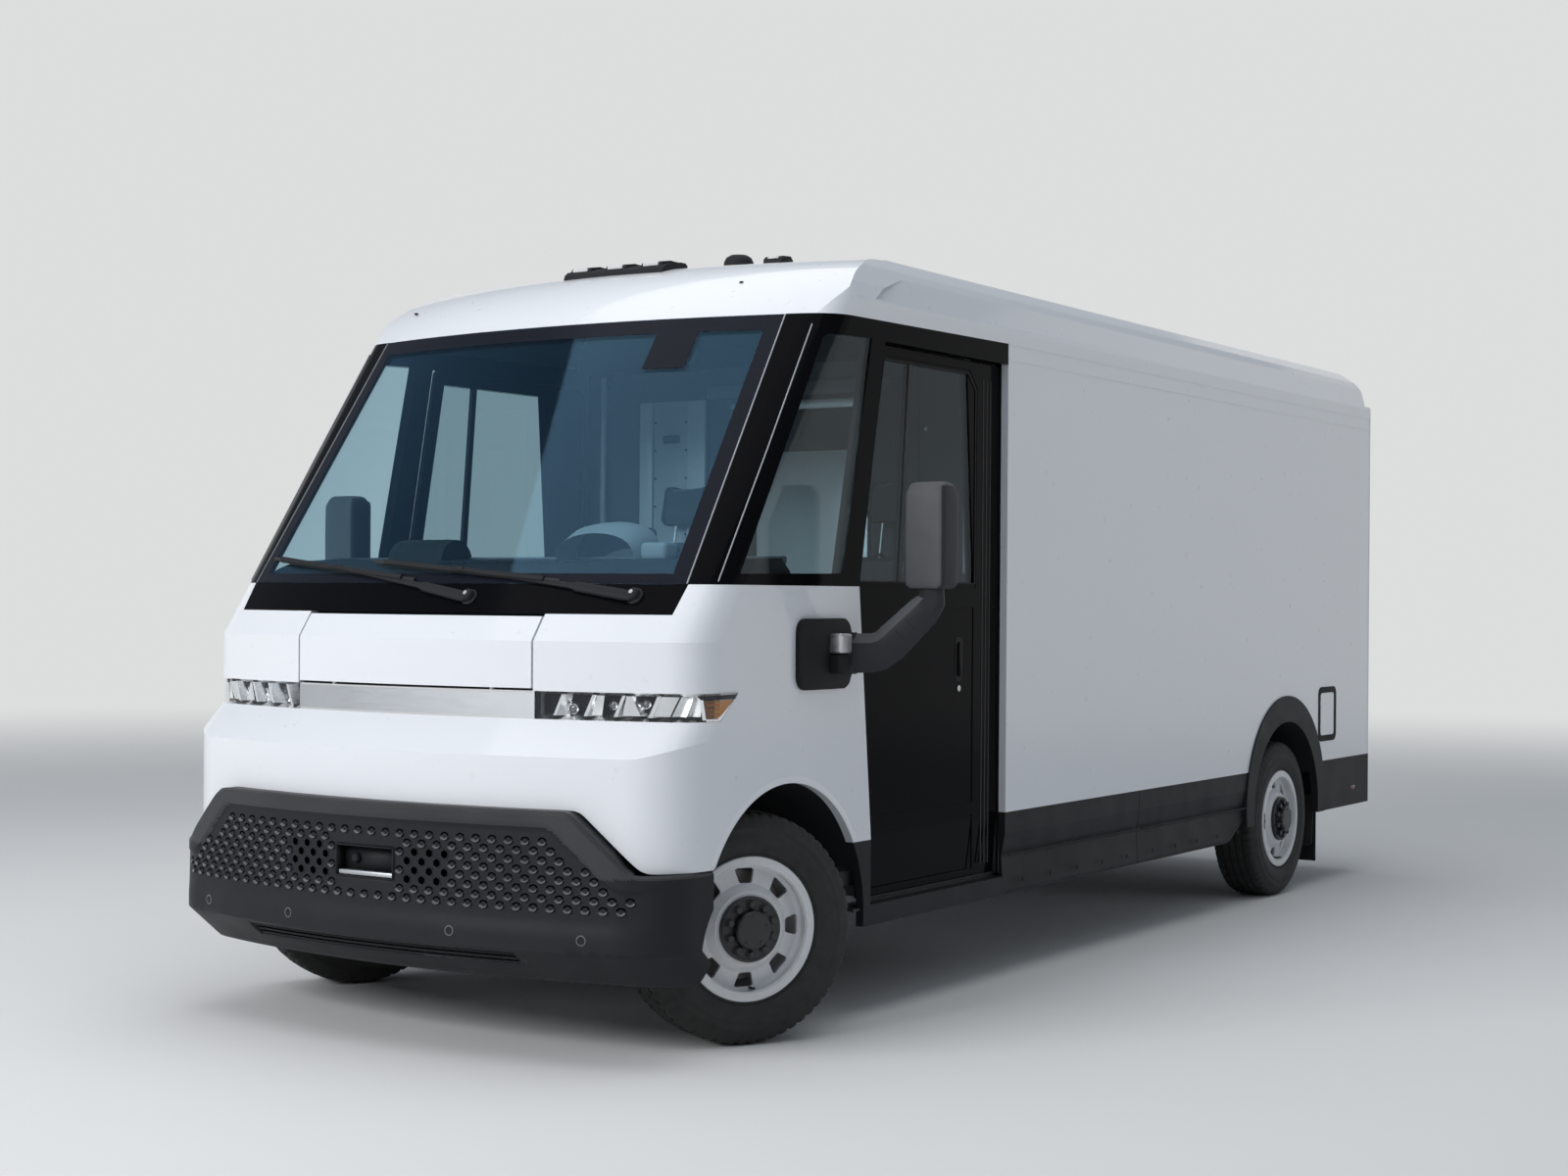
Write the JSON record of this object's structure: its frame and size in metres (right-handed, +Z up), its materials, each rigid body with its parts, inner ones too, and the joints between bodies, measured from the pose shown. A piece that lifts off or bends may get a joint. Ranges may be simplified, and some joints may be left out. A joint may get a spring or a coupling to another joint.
{
  "type": "electric cargo van",
  "caption": "Full-size electric walk-in cargo van with sliding cab doors, swing rear doors, a dark bumper and skirts, steered front wheels and a hollow load space.",
  "frame": {"origin": "on the ground, midway along the length and the width of the whole van", "axes": "+Z up, the front of the van faces -Y, +X is the left side of the van, which is the driver side"},
  "size_m": [2.88, 6.7439, 2.798],
  "materials": {
    "white_paint": "gloss",
    "gloss_black": "gloss",
    "dark_plastic": "textured",
    "light_bar_grey": "satin",
    "clear_lens": "gloss",
    "clear_glass": "gloss",
    "red_lens": "gloss",
    "amber_lens": "gloss",
    "frame_black": "satin",
    "aluminium": "cast",
    "tyre_rubber": "matte",
    "wheel_white": "satin",
    "floor_grey": "ribbed",
    "light_grey_panel": "satin",
    "seat_plastic": "matte",
    "seat_fabric": "woven"
  },
  "bodies": {
    "van_body": {"battery_pack": "aluminium", "bulkhead": "light_grey_panel", "cab_floor": "floor_grey", "cab_roof": "white_paint", "cab_side_frames": "gloss_black", "cargo_floor": "floor_grey", "cargo_roof": "white_paint", "charge_port": "dark_plastic", "chassis_frame": "frame_black", "cowl_panel": "gloss_black", "dashboard": "dark_plastic", "fender_left": "white_paint", "fender_right": "white_paint", "frame_crossmembers": "frame_black", "front_bumper": "dark_plastic", "front_drive_unit": "aluminium", "front_fascia": "white_paint", "front_suspension_arms": "frame_black", "headlights": "clear_lens", "headrests": "seat_fabric", "light_bar": "light_bar_grey", "mirrors": "dark_plastic", "nose_corner_panels": "white_paint", "quarter_glass": "clear_glass", "rear_axle": "frame_black", "rear_bumper": "dark_plastic", "rear_frame": "gloss_black", "rear_springs": "frame_black", "roof_lamps": "amber_lens", "seat_backs": "seat_fabric", "seat_bases": "seat_plastic", "seat_cushions": "seat_fabric", "side_panel_left": "white_paint", "side_panel_right": "white_paint", "side_skirts": "dark_plastic", "steering_wheel": "dark_plastic", "tail_lamps": "red_lens", "wheel_boxes": "floor_grey", "wheel_liners": "dark_plastic", "windshield": "clear_glass", "wipers": "dark_plastic"},
    "steering_knuckle_left": {"knuckle_left": "frame_black"},
    "steering_knuckle_right": {"knuckle_right": "frame_black"},
    "wheel_front_left": {"tyre_front_left": "tyre_rubber", "rim_front_left": "wheel_white"},
    "wheel_front_right": {"tyre_front_right": "tyre_rubber", "rim_front_right": "wheel_white"},
    "wheel_rear_left": {"tyre_rear_left": "tyre_rubber", "rim_rear_left": "wheel_white"},
    "wheel_rear_right": {"tyre_rear_right": "tyre_rubber", "rim_rear_right": "wheel_white"},
    "sliding_door_left": {"cab_door_left": "gloss_black", "cab_door_glass_left": "clear_glass"},
    "sliding_door_right": {"cab_door_right": "gloss_black", "cab_door_glass_right": "clear_glass"},
    "rear_door_left": {"rear_door_left": "white_paint"},
    "rear_door_right": {"rear_door_right": "white_paint"},
    "bulkhead_door": {"bulkhead_door": "light_grey_panel"},
    "hood": {"hood": "white_paint"},
    "charge_port_door": {"charge_port_door": "white_paint"}
  },
  "joints": [
    {"name": "steer_left", "type": "hinge", "parent": "van_body", "child": "steering_knuckle_left", "pos_m": [0.8, -2.504, 0.385], "axis": [0, 0, 1], "range_deg": [-3, 63]},
    {"name": "steer_right", "type": "hinge", "parent": "van_body", "child": "steering_knuckle_right", "pos_m": [-0.8, -2.504, 0.385], "axis": [0, 0, 1], "range_deg": [-3, 63]},
    {"name": "spin_front_left", "type": "hinge", "parent": "steering_knuckle_left", "child": "wheel_front_left", "pos_m": [0.9299, -2.579, 0.385], "axis": [0.866, -0.5, 0], "continuous": true},
    {"name": "spin_front_right", "type": "hinge", "parent": "steering_knuckle_right", "child": "wheel_front_right", "pos_m": [-0.9299, -2.429, 0.385], "axis": [0.866, -0.5, 0], "continuous": true},
    {"name": "spin_rear_left", "type": "hinge", "parent": "van_body", "child": "wheel_rear_left", "pos_m": [0.95, 2.066, 0.385], "axis": [1, 0, 0], "continuous": true},
    {"name": "spin_rear_right", "type": "hinge", "parent": "van_body", "child": "wheel_rear_right", "pos_m": [-0.95, 2.066, 0.385], "axis": [1, 0, 0], "continuous": true},
    {"name": "slide_cab_door_left", "type": "slide", "parent": "van_body", "child": "sliding_door_left", "axis": [0, 1, 0], "range_m": [0, 0.88]},
    {"name": "slide_cab_door_right", "type": "slide", "parent": "van_body", "child": "sliding_door_right", "axis": [0, 1, 0], "range_m": [0, 0.88]},
    {"name": "swing_rear_door_left", "type": "hinge", "parent": "van_body", "child": "rear_door_left", "pos_m": [0.985, 3.318, 1.56], "axis": [0, 0, -1], "range_deg": [0, 175]},
    {"name": "swing_rear_door_right", "type": "hinge", "parent": "van_body", "child": "rear_door_right", "pos_m": [-0.985, 3.318, 1.56], "axis": [0, 0, 1], "range_deg": [0, 175]},
    {"name": "slide_bulkhead_door", "type": "slide", "parent": "van_body", "child": "bulkhead_door", "axis": [-1, 0, 0], "range_m": [0, 0.56]},
    {"name": "lift_hood", "type": "hinge", "parent": "van_body", "child": "hood", "pos_m": [0, -3.13145, 1.408], "axis": [-1, 0, 0], "range_deg": [0, 60]},
    {"name": "swing_charge_port_door", "type": "hinge", "parent": "van_body", "child": "charge_port_door", "pos_m": [1.086, 2.549, 0.8865], "axis": [0, 0, -1], "range_deg": [0, 110]}
  ],
  "couplings": [
    {"joint": "steer_right", "follows": "steer_left", "ratio": 1}
  ]
}
